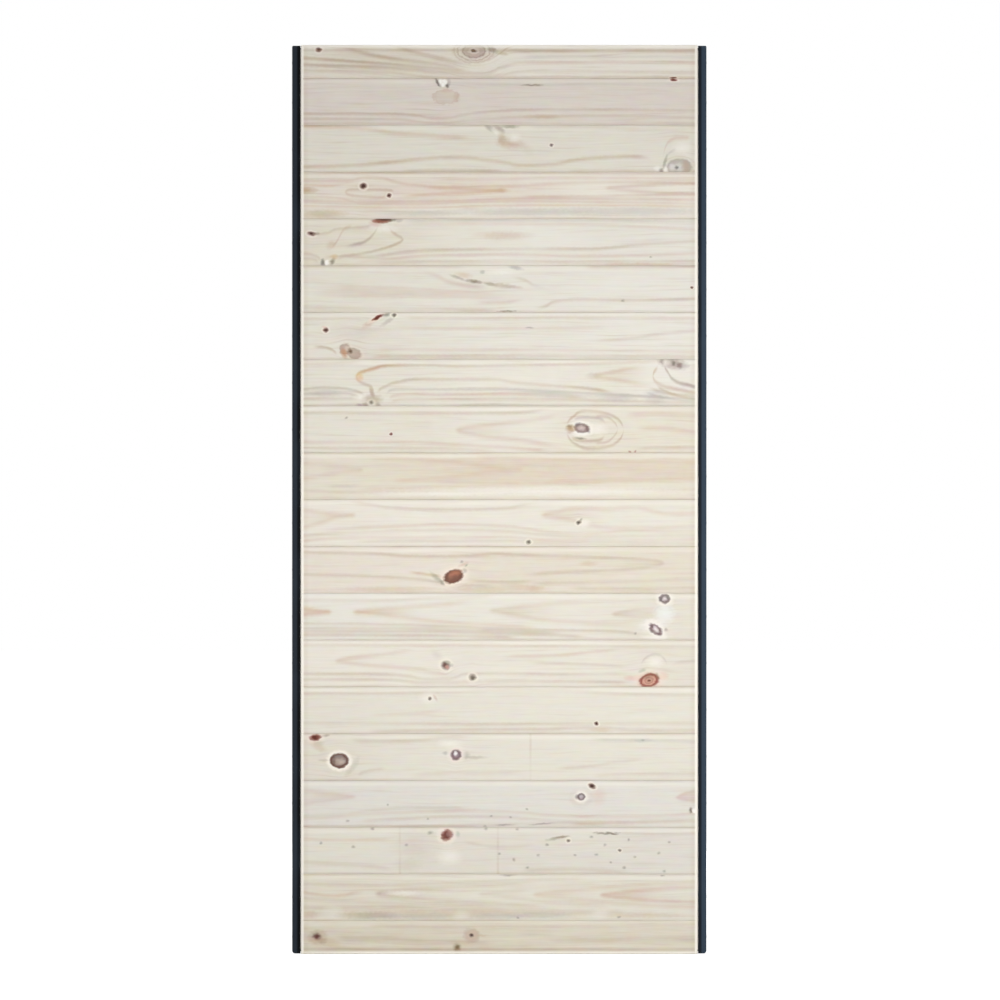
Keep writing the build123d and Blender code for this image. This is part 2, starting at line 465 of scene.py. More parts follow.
pine("board_02", 2, clay, clay, 0.25, figure=[
    line(0.4, 2.5, (-445, -27), (-250, -27), (-180, -31), (-138, -37), (-90, -31), (-20, -22), (60, -18),
         (200, -17), (445, -20)),
    line(0.3, 2.5, (-445, -38), (-230, -39), (-140, -47), (-80, -43), (0, -37), (100, -33), (260, -32),
         (445, -36)),
    line(0.35, 3, (-160, 44), (-60, 42), (120, 40), (445, 43), tone=grey),
    line(0.2, 2.5, (-445, -47), (0, -48), (445, -47)),
    line(0.4, 3, (40, -36), (80, -34), (150, -34), tone=pink),
], spots=[
    ("dome", -120, 11, 29, 17), wash("#C9A393", 0.3, -95, 9, 8, 12), wash("#D9B5A5", 0.4, -119, 26, 12, 6),
    ("torn", -138, 43, 12, 4, -60), ("torn", -117, 36, 6, 6), wash("#B9B1AE", 0.6, -113, 44, 5, 9, 10),
    ("chip", -130, 45, 8, 8), ("chip", -123, 44, 8, 8), ("chip", -126, 38, 5, 7), ("slit", 391, 49, 8, 3),
    wash("#84766C", 0.75, 75, 37, 25, 2.4), ("smudge", 100, -33, 40, 5),
])
pine("board_03", 3, linen, linen, 0.25, figure=[
    line(0.6, 4, (-445, 49), (-320, 46), (-230, 35), (-150, 29), (-60, 24), tone="#C6A582"),
    line(0.37, 3, (60, 48), (200, 47), (330, 43), (445, 46)),
    line(0.58, 3.5, (-445, -41), (-340, -38), (-240, -30), (-160, -22), (-100, -19), (-40, -24), (20, -32),
         (65, -38), (110, -36), (170, -25), (230, -20), (300, -18), (345, -24), tone="#BD9C7C"),
    line(0.49, 3, (-230, -50), (-100, -49), (20, -50)),
    line(0.33, 3, (140, -50), (250, -49), (445, -50)),
    line(0.5, 3.5, (366, -28), (370, -5), (377, 12), (388, 21), (402, 25), (430, 25), tone="#CBA898",
         fade=(6, 10)),
    line(0.37, 2.5, (366, -42), (372, -22), (384, -8), (400, 2), tone=grey, fade=(8, 10)),
], spots=[
    wash("#93887A", 0.6, -22, 46, 13, 6, -35), wash("#A08D7B", 0.6, 0, 44, 16, 6, -30),
    wash("#958A7C", 0.6, 24, 49, 20, 4), ("bloom", -8, 36, 14, 4, -38),
    wash("#C6A886", 0.6, 24, 12, 30, 13, -6), wash("#BFA384", 0.55, 5, 22, 9, 13, 10),
    ("bloom", 34, 24, 14, 11), ("shade", 58, 2, 20, 10, -30), ("grey_pin", 117, 8, 4, 4, 30),
    ("bloom", 410, 0, 20, 15), ("grey_eye", 404, -42, 28, 19), wash("#E3E1DC", 0.8, 387, -42, 7, 10),
    wash("#BD9A88", 0.65, 418, -41, 10, 15, 8), wash("#6F6A66", 0.95, 398, -43, 4.5, 4.5),
    wash("#877B72", 0.75, 363, -49, 6, 6), wash("#FBF7EF", 0.85, 373, -48, 6, 7),
    wash("#FBF7EF", 0.6, 354, -45, 8, 6), wash("#958A7D", 0.6, 372, -30, 4, 16, -14),
])
pine("board_04", 4, rosy, bright, 0.35, figure=[
    line(0.45, 3, (-445, 48), (-250, 50), (0, 49), (445, 49)),
    line(0.45, 3, (-445, 33), (-340, 33), (-290, 40), (-240, 32), (-190, 23), (-120, 20), (0, 20),
         (120, 26), (300, 30), (445, 28), tone=pink),
    *tongue(0.4, 3, (18, 11), [(-80, 15), (-150, 18), (-200, 24)],
            [(-60, 6), (-120, 4), (-180, 1), (-235, -8)], orange, 0.35),
    *tongue(0.45, 3, (235, 17), [(290, 22), (360, 25), (445, 27)], [(290, 10), (350, 6), (445, 3)], pink),
    line(0.5, 3, (-445, -12), (-330, -14), (-200, -14), (0, -9), (150, -7), (300, -8), (445, -10),
         tone=pink),
    line(0.45, 2.5, (40, -3), (150, -2), (300, 0), (445, 3), tone=pink),
    line(0.4, 3, (-150, 36), (0, 37), (200, 40), (445, 38), tone=pink),
    line(0.6, 2.5, (-348, 7), (-330, 0), (-300, -3), (-268, -4), (-248, -2), tone=pink, fade=(6, 14)),
    line(0.55, 2.3, (-348, 7), (-328, 13), (-290, 13), (-250, 12), (-234, 8), fade=(6, 10)),
    line(0.35, 2, (-445, -3), (-370, -5), (-300, -18), (-200, -20), (-60, -16), (100, -14), (300, -16),
         (445, -18), tone=pink),
    line(0.35, 2, (-445, 24), (-380, 22), (-335, 27), tone=orange),
    line(0.3, 2, (-445, -24), (-200, -27), (0, -24), (200, -22), (445, -24), tone=orange),
], spots=[
    wash("#E0C8B6", 0.25, -80, 8, 230, 34), ("pin", -305, 21, 7, 6), ("pin", -247, 0, 4.8, 4),
    wash("#C2A078", 0.8, -446, 12, 36, 9), wash("#D0A988", 0.4, 6, 11, 18, 6), ("stain", 60, -37, 150, 9),
    ("stain", 300, -36, 170, 10), wash("#BDA98A", 0.55, -397, -42, 52, 10), ("stain", -170, -40, 90, 6),
])
pine("board_05", 5, oat, cool, 0.25, figure=[
    tone_over(0.3, (-250, -100, 60, 300), "#F4F1E8"),
    line(0.5, 3, (-225, 47), (0, 48), (445, 46), tone=grey),
    line(0.4, 3, (-220, 41), (-60, 42), (150, 40), (300, 35), (445, 28), tone=pink),
    line(0.6, 2.5, (-412, 18), (-385, 21), (-365, 29), (-330, 32), (-285, 36), fade=(8, 10)),
    line(0.85, 3, (-350, -11), (-325, -5), (-305, 0), (-287, 13), (-276, 28), (-270, 38), tone="#AE9B8D",
         fade=(30, 6)),
    line(0.65, 3, (-250, 38), (-238, 22), (-215, 8), fade=(8, 4)),
    line(0.65, 2.5, (-400, -34), (-330, -29), (-270, -17), (-225, -1), (-213, 8), fade=(30, 4)),
    line(0.65, 3, (-377, -12), (-366, 0), (-356, 17), (-349, 28), (-328, 38), tone="#C3A48C", fade=(6, 10)),
    line(0.45, 3, (-360, -34), (-300, -33), (-220, -23), (-150, -18), (0, -16), (200, -15), (310, -6),
         (445, 3)),
    line(0.4, 3, (-330, -45), (-230, -36), (-150, -30), (0, -28), (200, -31), (445, -24), tone=pink),
    line(0.4, 3, (-300, -46), (0, -43), (200, -44), (445, -42)),
    line(0.5, 3, (-445, -25), (-425, -27), (-406, -34), (-398, -43), fade=(0, 8)),
    line(0.45, 3, (-445, -37), (-420, -38), (-404, -45), fade=(0, 8)),
    line(0.45, 3, (-364, -37), (-345, -31), (-300, -29), fade=(8, 30)),
], spots=[
    ("bloom", -258, 30, 30, 9), wash("#D0A090", 0.45, -278, 42, 15, 8), ("bark", -263, 48.5, 22, 6, 3),
    wash("#4A3732", 0.85, -255, 51, 25, 3), wash("#6B6455", 0.6, -240, 49, 11, 3, 8),
    wash("#A9A5A2", 0.5, -225, 49, 9, 5), ("pin", -421, 19, 8, 4.5, -8),
    wash("#8C7A68", 0.65, -411, 19, 9, 3.5), ("smudge", 10, 15, 56, 9),
    wash("#6F6C66", 0.85, -396, -46, 5, 9), wash("#7F7466", 0.8, -374, -43, 5, 9, -25),
    ("chip", -387, -46, 6, 8), wash("#D9B98E", 0.6, -370, -33, 9, 6), ("smudge", -378, -6, 12, 8, 40),
    ("smudge", 310, -50, 90, 4), ("speck", 340, -33, 4, 3),
])
pine("board_06", 6, linen, cool, 0.25, figure=[
    line(0.4, 3, (-445, 49), (-200, 50), (-60, 50)),
    line(0.45, 4, (180, 50), (300, 49), (445, 50)),
    line(0.45, 4, (-175, 37), (-140, 29), (-115, 17), (-80, 9), (-20, 2), tone=pink),
    line(0.5, 3, (75, -46), (105, -38), (132, -27), (180, -24), (270, -25), (445, -22)),
    line(0.3, 4, (-445, -42), (-250, -45), (0, -46)),
    line(0.35, 3, (-60, -30), (0, -30), (40, -26), (60, -18), tone=pink),
    line(0.3, 3, (20, 30), (60, 18), (80, 8), (110, 4)),
    fill(0.25, [(-446, 14), (-200, 4), (60, -12)], [(-446, -20), (-200, -20), (60, -28)],
         (-430, -330, -60, 60), pink),
], spots=[
    ("bloom", 5, 38, 40, 7), wash("#D6C0A2", 0.55, -80, 31, 20, 7, -8),
    wash("#8C7D6C", 0.5, -92, 25, 22, 3.5, -20), wash("#84715E", 0.85, -56, 17, 17, 4.5, -8),
    wash("#A08D77", 0.65, -20, 11, 16, 3.8, -9), wash("#B5A78C", 0.6, 8, 7, 26, 6, -4),
    wash("#C0AE97", 0.5, 34, 4, 20, 4, -6), wash("#ABA7A3", 0.6, 36, 48, 18, 5, -12),
    wash("#ADA99D", 0.6, -38, 38, 6, 5), ("speck", 277, -26, 5, 4), ("pin", 432, 3, 3, 3),
    ("scar", 15, -50, 22, 3),
])
pine("board_07", 7, linen, cool, 0.3, figure=[
    line(0.4, 3, (-445, 39), (-350, 39), (-290, 31)),
    line(0.4, 3, (-220, 41), (-100, 40), (150, 42), (445, 40)),
    line(0.3, 3, (200, -12), (290, -6), (360, 4), (445, 12)),
    line(0.3, 3, (-250, 18), (0, 16), (250, 20), tone=pink),
    line(0.3, 3, (-290, -30), (-100, -32), (200, -32), (445, -36), tone=pink),
    line(0.5, 2.5, (-420, -24), (-390, -26), (-362, -40), fade=(20, 8)),
    line(0.4, 3, (-300, -45), (0, -45), (445, -46)),
], spots=[
    ("shade", -310, 8, 70, 22), wash("#C9AB9C", 0.6, -291, 28, 18, 7, 32),
    wash("#B5A598", 0.55, -249, 33, 20, 5, 35), wash("#D8A594", 0.6, -281, 35, 12, 4, 28),
    ("slit", -273, 41, 15, 4, 27), wash("#7D776A", 0.8, -254, 47, 10, 5, 10),
    ("grey_pin", -236, 46, 5, 4.5, 20), ("pin", -389, 13, 5.5, 5), wash("#E0B9B0", 0.5, -392, 19, 6, 4),
    ("body", -346, -30, 12, 13), ("body", -326, -40, 17, 12, -25),
    wash("#BE8C69", 0.85, -348, -39, 7, 13, 20), wash("#5E452F", 0.95, -334, -35, 5, 5.5),
    ("speck", 68, 18, 12, 2),
])
pine("board_08", 8, linen, linen, 0.3, figure=[
    tone_over(0.35, (250, 350, 446, 447), "#F2EFEA"),
    line(0.85, 3, (-322, 14), (-314, 22), (-300, 27), (-285, 31), (-250, 39), (-180, 40), tone="#C9A784",
         fade=(3, 110)),
    line(0.5, 2.5, (-300, 27), (-250, 39), (-180, 40), (-80, 37), (60, 40), (220, 43), (400, 48),
         fade=(60, 80)),
    line(0.85, 3.2, (-322, 14), (-316, 5), (-307, -1), (-297, -5), (-287, -10), (-280, -19),
         tone="#B79B7E", fade=(3, 5)),
    line(0.75, 3, (-276, -20), (-255, -8), (-225, 2), (-170, 8), (-90, 7), (-30, 7), (35, 0), (110, -6),
         (190, -12), (260, -22), fade=(10, 40)),
    line(0.75, 2.8, (-445, -16), (-385, -11), (-335, -16), (-300, -28), tone="#A8998A", fade=(0, 10)),
    line(0.5, 2.5, (-255, -28), (-230, -15), (-150, -15), (0, -15), (110, -20), (250, -26), (445, -38),
         tone=grey, fade=(10, 40)),
    line(0.55, 2.6, (-445, -26), (-360, -24), (-310, -34), tone="#A8998A", fade=(0, 10)),
    line(0.55, 3, (-250, -36), (-200, -26), (0, -26), (200, -32), tone=pink, fade=(10, 40)),
    line(0.5, 2.6, (-445, -36), (-340, -36), (-300, -44), fade=(0, 10)),
    line(0.35, 2.5, (-445, -51), (0, -51), (445, -51), tone=grey),
    line(0.4, 3, (-245, -42), (-180, -37), (50, -37), (300, -42), (445, -46), fade=(10, 40)),
    *tongue(0.5, 3.5, (206, 15), [(240, 22), (290, 31), (335, 40)], [(240, 9), (300, 0), (350, -8)],
            "#C8A98A"),
    line(0.75, 4, (343, 14), (348, 26), (358, 37), tone="#C6AD92", fade=(3, 8)),
    line(0.6, 3.6, (343, 14), (350, 3), (364, -6), (388, -12), (420, -19), (445, -24), tone="#C4AE98",
         fade=(3, 75)),
    line(0.75, 3.2, (369, 38), (378, 24), (387, 10), (401, 1), (428, -6), (445, -12), tone="#AD9C8C",
         fade=(4, 45)),
    line(0.4, 2.5, (352, -8), (380, -22), (410, -32), (445, -38), fade=(10, 0)),
    line(0.35, 2.5, (325, -20), (370, -34), (445, -45), tone=grey, fade=(20, 0)),
    line(0.45, 3, (335, -12), (380, -24), (445, -32), fade=(20, 0)),
    line(0.35, 3, (-445, 42), (-360, 44), (-300, 47)),
], spots=[
    wash("#F3EEE3", 0.35, 20, 8, 200, 40), wash("#E3BC92", 0.7, -314, 13, 10, 10),
    wash("#A88F73", 0.7, -286, -22, 5, 12, 20), ("bloom", -310, -34, 16, 9),
    wash("#B59E84", 0.7, -284, -38, 22, 12), wash("#9C8A97", 0.7, -312, -51, 10, 4),
    wash("#8A796F", 0.7, -299, -50, 7, 5), wash("#8A796F", 0.6, -272, -50, 7, 5), ("bloom", -287, -45, 9, 8),
    wash("#6E6454", 0.95, -287, -45, 5.5, 5.5), ("stain", 110, -24, 80, 9, -3),
    ("stain", 260, -33, 45, 10, -3), ("stain", 350, -32, 26, 16), ("stain", -390, -22, 36, 10),
    wash("#CDBBAF", 0.5, 212, 15, 18, 8), wash("#A3918A", 0.85, 390, 43, 32, 13, -10),
    wash("#776E66", 0.8, 391, 43, 4, 6), wash("#8A756D", 0.8, 404, 39, 6, 7),
    wash("#DACFC8", 0.8, 381, 44, 5, 7), wash("#8C837C", 0.7, 366, 47, 6, 6), ("bloom", 373, 45, 7, 7),
])
pine("board_09", 9, linen, oat, 0.25, figure=[
    tone_over(0.25, (-140, -40, 60, 180), "#F0EDE8"),
    line(0.4, 3, (-445, 38), (-150, 37), (30, 38), (110, 46)),
    *tongue(0.35, 4, (-102, -1), [(-60, 8), (0, 14), (50, 18), (100, 25), (145, 42)],
            [(-70, -9), (-20, -18), (50, -24), (110, -35), (160, -44)], pink),
    line(0.45, 3, (-445, -28), (-220, -28), (-100, -33), (20, -41), (120, -48), tone=pink),
    line(0.35, 3, (-445, -42), (-200, -42), (0, -48)),
    line(0.6, 3, (150, 12), (165, 28), (195, 42), (232, 38), (262, 26), (280, 5), fade=(6, 6)),
    line(0.6, 3, (150, -10), (170, -32), (205, -43), (245, -38), (270, -22), (281, 2), fade=(6, 6)),
    line(0.7, 3, (165, 18), (180, 26), (205, 27), (228, 23), (240, 12), tone="#BFAFA9", fade=(8, 10)),
    line(0.65, 3, (160, -18), (190, -25), (220, -24), (238, -14), fade=(8, 10)),
    line(0.4, 5, (275, 32), (340, 36), (445, 32), tone=pink),
    line(0.45, 2.5, (212, 30), (238, 29), (258, 16), (267, 1), fade=(12, 4)),
    line(0.45, 2.5, (212, -31), (238, -29), (258, -14), (267, 0), fade=(12, 4)),
    line(0.35, 4, (300, 3), (360, 2), (445, -6), tone=pink),
    line(0.4, 3, (290, -47), (340, -42), (445, -40)),
], spots=[
    ("bloom", 222, 0, 20, 12), ("pink_knot", 184, 3, 17, 11, -8), wash("#B0936B", 0.9, 160, 2, 11, 10),
    wash("#86705A", 0.6, 157, 7, 6, 4), wash("#6E5856", 0.7, 199, 1, 5, 10, 15),
    wash("#7C6866", 0.6, 176, 10, 8, 5), ("bloom", 184, -11, 20, 3.5, 4),
    wash("#857C74", 0.85, 182, -20, 13, 3, -4), ("pin", -243, -10, 3.2, 2.9, 20),
    wash("#9A6A5E", 0.5, -243, -10, 4, 4), wash("#A8776E", 0.8, 293, -50, 4, 2.4),
    wash("#A8776E", 0.8, 305, -49, 3.4, 2.4, 20), ("speck", -343, 26, 5, 3, 30),
])
pine("board_10", 10, oat, oat, 0.2, figure=[
    *tongue(0.26, 4, (-300, 15), [(-350, 22), (-445, 28)], [(-350, 8), (-445, -5)], pink, 0.12),
    *tongue(0.3, 4, (57, 15), [(0, 20), (-60, 27), (-150, 36), (-330, 46)],
            [(0, 10), (-60, 4), (-150, -6), (-280, -14)], "#CFB196", 0.2),
    line(0.34, 4, (-60, 44), (100, 40), (300, 37), (445, 35), tone="#CFB196"),
    line(0.34, 4, (-330, -32), (-150, -25), (0, -20), (150, -14), (300, -9), (445, -7), tone="#CFB196"),
    line(0.34, 3, (-400, -21), (-350, -22), (-300, -21), tone=grey),
    line(0.26, 3, (-445, -30), (-300, -36), (0, -34), (300, -30), (445, -30)),
    fill(0.28, [(-445, 40), (-60, 43), (100, 40), (446, 35)],
         [(-445, -6), (-150, -16), (0, -19), (446, -7)], (-445, 60, 446, 447), "#CFB198"),
], spots=[
    ("bloom", 120, -34, 330, 9), ("bloom", -150, -40, 150, 5),
])
pine("board_11", 11, pale, linen, 0.2, figure=[
    line(0.36, 3, (-345, 48), (-290, 42), (-230, 34), (-100, 31), (0, 33), (50, 40), (90, 47)),
    *tongue(0.26, 4, (-318, 18), [(-370, 21), (-445, 31)], [(-360, 13), (-395, 2), (-445, -11)], "#C8A98C",
            0.25),
    *tongue(0.32, 4, (90, 18),
            [(130, 26), (180, 33), (250, 31), (290, 35), (350, 25), (400, 20), (445, 23)],
            [(125, 12), (165, 5), (200, -6), (300, -12), (445, -9)], pink),
    line(0.32, 3, (-400, -18), (-330, -11), (-200, -6), (-100, -3), (0, -6), (60, -12), (120, -20),
         (200, -23), (300, -18), (445, -20), tone=pink),
    line(0.29, 3, (-445, -28), (-300, -20), (-100, -16), (0, -18), (100, -26), (220, -30), (445, -28)),
    line(0.32, 3, (-445, -40), (-250, -32), (0, -32), (120, -38), (300, -38), (445, -36), tone=pink),
    line(0.29, 3, (-330, -42), (-150, -40), (0, -40), (100, -45), (300, -45), (445, -46)),
], spots=[
    ("bloom", 190, 0, 14, 9), ("grey_pin", 178, 1, 6, 5, 40), wash("#3F3932", 0.8, 177, 0, 3.5, 3.5, 40),
    wash("#9A9184", 0.7, 183, 7, 5, 3, 50), ("grey_pin", 66, -43, 6, 4.5),
])
pine("board_12", 12, rosy, oat, 0.2, figure=[
    tone_over(0.07, (-160, -20, 446, 447)),
    line(0.55, 2.5, (-210, -4), (-175, -8), (-140, -13), (-122, -16), tone=orange, fade=(30, 8)),
    *tongue(0.45, 3, (374, 15), [(350, 21), (300, 25), (200, 28), (60, 33), (-60, 40)],
            [(350, 9), (300, 2), (200, -3), (100, -7), (40, -13)], brown_and_shade, 0.1),
    line(0.35, 3, (-80, -22), (-40, -25), (20, -27), (90, -24)),
    line(0.35, 3, (-445, -10), (-300, -14), (-170, -22), (-100, -34), (0, -36)),
    line(0.35, 3, (60, -30), (200, -28), (445, -20)),
    line(0.4, 3, (-445, 40), (-300, 38), (-150, 30), (0, 36)),
    line(0.4, 3, (150, -42), (300, -42), (445, -40)),
], spots=[
    ("red_knot", -103, -15, 21, 14, 22), wash("#B5755C", 0.7, -98, -8, 13, 7, 15),
    wash("#6A443A", 0.75, -99, -20, 17, 9, 18), wash("#6A4A3C", 0.6, -117, -18, 5, 8, 10),
    wash("#A09884", 0.6, -139, -20, 20, 6, -42), wash("#6E6852", 0.5, -129, -28, 7, 4.5, -45),
    wash("#D5B5A6", 0.6, -80, 12, 12, 4, 20), ("speck", -84, 18, 5, 3), ("speck", -74, 10, 5, 3, 30),
    wash("#A9A294", 0.6, -78, -2, 5, 6, 30), ("smudge", 50, -39, 60, 8, -4), ("smudge", -40, -44, 70, 6),
    ("smudge", -260, -44, 110, 6), ("smudge", 80, -42, 24, 6), ("smudge", 200, 14, 20, 6),
])
pine("board_13", 13, cool, linen, 0.2, figure=[
    tone_over(0.08, (180, 320, 446, 447)),
    *tongue(0.34, 4, (-372, 11), [(-400, 14), (-445, 20)], [(-400, 7), (-445, 2)], orange, 0.35),
    *tongue(0.38, 4, (-332, 10), [(-270, 17), (-200, 22), (-120, 29), (-40, 40)],
            [(-270, 3), (-200, -4), (-100, -14), (0, -20), (100, -26)], "#CBA888", 0.45),
    *tongue(0.34, 4, (-27, 14), [(20, 21), (100, 28), (220, 36)],
            [(10, 7), (50, 0), (100, -7), (200, -14), (320, -20)], "#C8AE97", 0.3),
    *tongue(0.26, 3, (248, 6), [(290, 14), (340, 22)], [(290, 0), (330, -6)]),
    line(0.38, 3, (-445, -16), (-250, -17), (-120, -22), (60, -30), (250, -32), (320, -40)),
    line(0.38, 3, (-445, -26), (-250, -26), (-80, -31), (150, -38)),
    line(0.38, 3, (-445, -33), (-200, -33), (0, -38), (200, -44)),
    line(0.42, 3, (-445, -41), (-200, -42), (50, -46)),
    line(0.26, 3, (-445, 38), (-300, 36), (-150, 42), (0, 46)),
    line(0.34, 2, (345, 4), (352, 18), (365, 24), (382, 20), (392, 4), tone="#C2BEB6", fade=(4, 4)),
], spots=[
    wash("#F0F2F0", 0.7, 370, 6, 24, 22), wash("#F4F2EC", 0.7, 345, -20, 30, 16),
    ("hollow_knot", 371, 40, 12, 11), wash("#6E6765", 0.7, 361, 39, 4, 7),
    ("pink_knot", 351, -29, 17, 9.5, -45), wash("#5F4B4A", 0.8, 342, -21, 8, 5, -40),
    wash("#5F4B4A", 0.7, 358, -39, 8, 4.5, -30), wash("#6E5A5A", 0.7, 361, -29, 4, 8, 35),
    # The last wash on the next line is a painted highlight inside the pink knot
    wash("#6E5A5A", 0.7, 340, -30, 4, 7, 30), wash("#F2EAE8", 0.8, 351, -28, 9, 3.5, -50),
    ("speck", 305, -38, 4, 3), ("speck", 374, -29, 5, 5), ("bloom", 350, -46, 30, 4),
])
pine("board_14", 14, pale, linen, 0.2, figure=[
    tone_over(0.08, (200, 330, 446, 447)),
    *tongue(0.35, 3.5, (-372, 6), [(-330, 14), (-250, 22), (-180, 33)],
            [(-320, -1), (-240, -8), (-180, -13), (-140, -21), (-110, -22), (-70, -12)], pink, 0.1),
    line(0.42, 3, (-445, -23), (-300, -23), (-200, -28), (-145, -35), (-95, -30), (-70, -23), (0, -22),
         (150, -24), (300, -23)),
    line(0.38, 3, (-445, -36), (-250, -36), (-150, -43), (-60, -41), (100, -40), (300, -42)),
    line(0.4, 3, (0, 15), (120, 18), (200, 25), (280, 34), tone=pink),
    line(0.35, 3, (60, 2), (200, -2), (300, -8)),
    line(0.4, 2.5, (316, -4), (328, 12), (350, 20), (372, 8), (378, -10), tone=grey, fade=(8, 8)),
    line(0.35, 3, (-445, 42), (-200, 42), (100, 40), (445, 38)),
    line(0.35, 3, (380, -8), (400, 2), (445, 6)),
], spots=[
    ("grey_pin", -120, -4, 10, 10, 45), wash("#6B4841", 0.9, -123, -3, 6, 7, 20),
    wash("#CBA08F", 0.85, -117, -8, 5, 5), wash("#B5B5A6", 0.6, -107, -4, 5, 4),
    ("shade", -140, 20, 12, 9, -30), ("grey_pin", -60, -31, 8, 7.5), wash("#5F584C", 0.7, -59, -34, 4, 4),
    wash("#E2B9A8", 0.6, 300, -33, 20, 7), wash("#E2B9A8", 0.6, 368, -29, 12, 10),
    ("ringed_knot", 336, -38, 22, 15.5, 15), wash("#7D6250", 0.5, 332, -30, 15, 4, 15),
    wash("#8C6A55", 0.6, 355, -30, 4, 9, 20), ("bloom", 350, 4, 18, 12),
    wash("#A9A894", 0.55, 321, -16, 9, 4, 20),
], bow=[(-445, 0), (-260, 0), (-145, -10), (-60, 0), (445, 0)])
pine("board_15", 15, linen, linen, 0.15, figure=[
    line(0.32, 3, (-445, -29), (-200, -30), (0, -31), (150, -29), (445, -30)),
    line(0.32, 3, (-300, -47), (-100, -44), (100, -42), (220, -38), (300, -44), (445, -44)),
    line(0.24, 3, (-300, -12), (-200, -7), (-150, -3), (-120, 4), tone=pink),
    line(0.28, 3, (-445, 38), (-200, 39), (60, 44), (300, 36), (445, 34)),
], spots=[
    ("bloom", -158, 28, 18, 12), ("grey_pin", -156, 26, 4, 4), wash("#CDB5A6", 0.6, -143, 28, 3, 9, 30),
    ("pin", 218, -30, 4.5, 4), ("smudge", 225, -44, 30, 5),
])
pine("board_16", 16, linen, linen, 0.2, figure=[
    tone_over(0.08, (-447, -446, -360, -230)),
    line(0.4, 4, (-345, 41), (-280, 36), (-200, 37), (-130, 43), (-60, 46)),
    line(0.28, 3, (120, -26), (200, -20), (265, -10), (330, -4)),
    line(0.28, 3, (-320, -40), (-290, -30), (-250, -26), fade=(10, 20)),
    line(0.28, 4, (-200, -40), (-50, -34), (60, -36)),
    line(0.32, 3, (200, 40), (330, 38), (445, 34), tone=grey),
    line(0.28, 3, (200, -42), (330, -38), (445, -38)),
], spots=[
    wash("#A08C80", 0.75, -396, 47, 16, 3.5, 8), ("slit", -413, 44, 13, 7.5, 8),
    wash("#7E4840", 0.8, -405, 45, 7, 4, 8), wash("#BEBDAA", 0.5, -404, 31, 12, 6),
    ("smudge", -405, 22, 20, 8, -30), wash("#BDBAA6", 0.6, -330, -22, 8, 24, -35),
    ("grey_knot", -359, -8, 21, 17), wash("#7B6E70", 0.6, -361, 1, 11, 5),
    wash("#CBB7AC", 0.7, -353, -12, 7, 5, 20), wash("#6F544C", 0.6, -371, -10, 5, 9, -15),
    wash("#6B5048", 0.6, -358, -21, 9, 3.5), wash("#B5ABA0", 0.5, -395, -7, 12, 3),
    wash("#B5ADA2", 0.6, -121, 9, 7, 4), wash("#B9ADA3", 0.6, -75, 3, 10, 8),
    wash("#B9AFA4", 0.55, -55, -1, 26, 4), ("ball_knot", -97, 5, 11.5, 11.5),
    # The white wash that starts the next line is a painted highlight on the ball knot
    wash("#FFFCFA", 0.9, -98, 8, 4, 6), ("stain", 320, 37, 26, 4), ("speck", 322, 38, 5, 3),
    ("bloom", -110, 30, 26, 8),
], seams=[70])
pine("board_17", 17, mist, mist, 0.18, figure=[
    *tongue(0.22, 4, (-318, 16), [(-360, 23), (-445, 31)], [(-360, 8), (-445, -2)], pink, 0.3),
    line(0.34, 3, (-445, -35), (-300, -24), (-200, -18), (-50, -15), (50, -19), (140, -27), (300, -28),
         (445, -21), tone=pink),
    line(0.3, 3, (-445, -27), (-360, -24), (-280, -14), (-180, -8), (-60, -9)),
    line(0.3, 3, (-330, -40), (-200, -32), (-50, -28), (60, -33), (200, -40), (445, -36)),
    line(0.34, 3, (-445, -50), (-250, -50), (0, -46), (120, -44), (240, -48)),
    line(0.3, 3, (150, -46), (300, -42), (445, -40), tone=pink),
    *tongue(0.26, 3, (393, 14), [(415, 24), (445, 33)], [(415, 8), (445, 2)], pink, 0.35),
], spots=[
    wash("#DCC5BA", 0.5, 224, 17, 16, 20), wash("#CDBBAE", 0.5, 184, 14, 24, 20), ("bloom", 184, 16, 17, 14),
    ("hollow_knot", 184, 15.5, 9, 8.5), wash("#94888A", 0.6, 185, 14, 5, 5),
    wash("#6A5658", 0.8, 175, 15.5, 6, 5), ("pin", 208, 40, 7.5, 5, -25), ("torn", 430, -15, 5, 8),
    ("chip", 437, -16, 6, 7), ("speck", -250, -2, 3, 3), ("speck", -340, -38, 5, 4),
    ("speck", 95, -45, 34, 2.5, 4), ("speck", 10, -47, 30, 2.5, 2), ("speck", -32, -50, 5, 3),
    *specks(4, 3, (62, -12), (-160, -34), (-18, -28), (25, -30)),
])
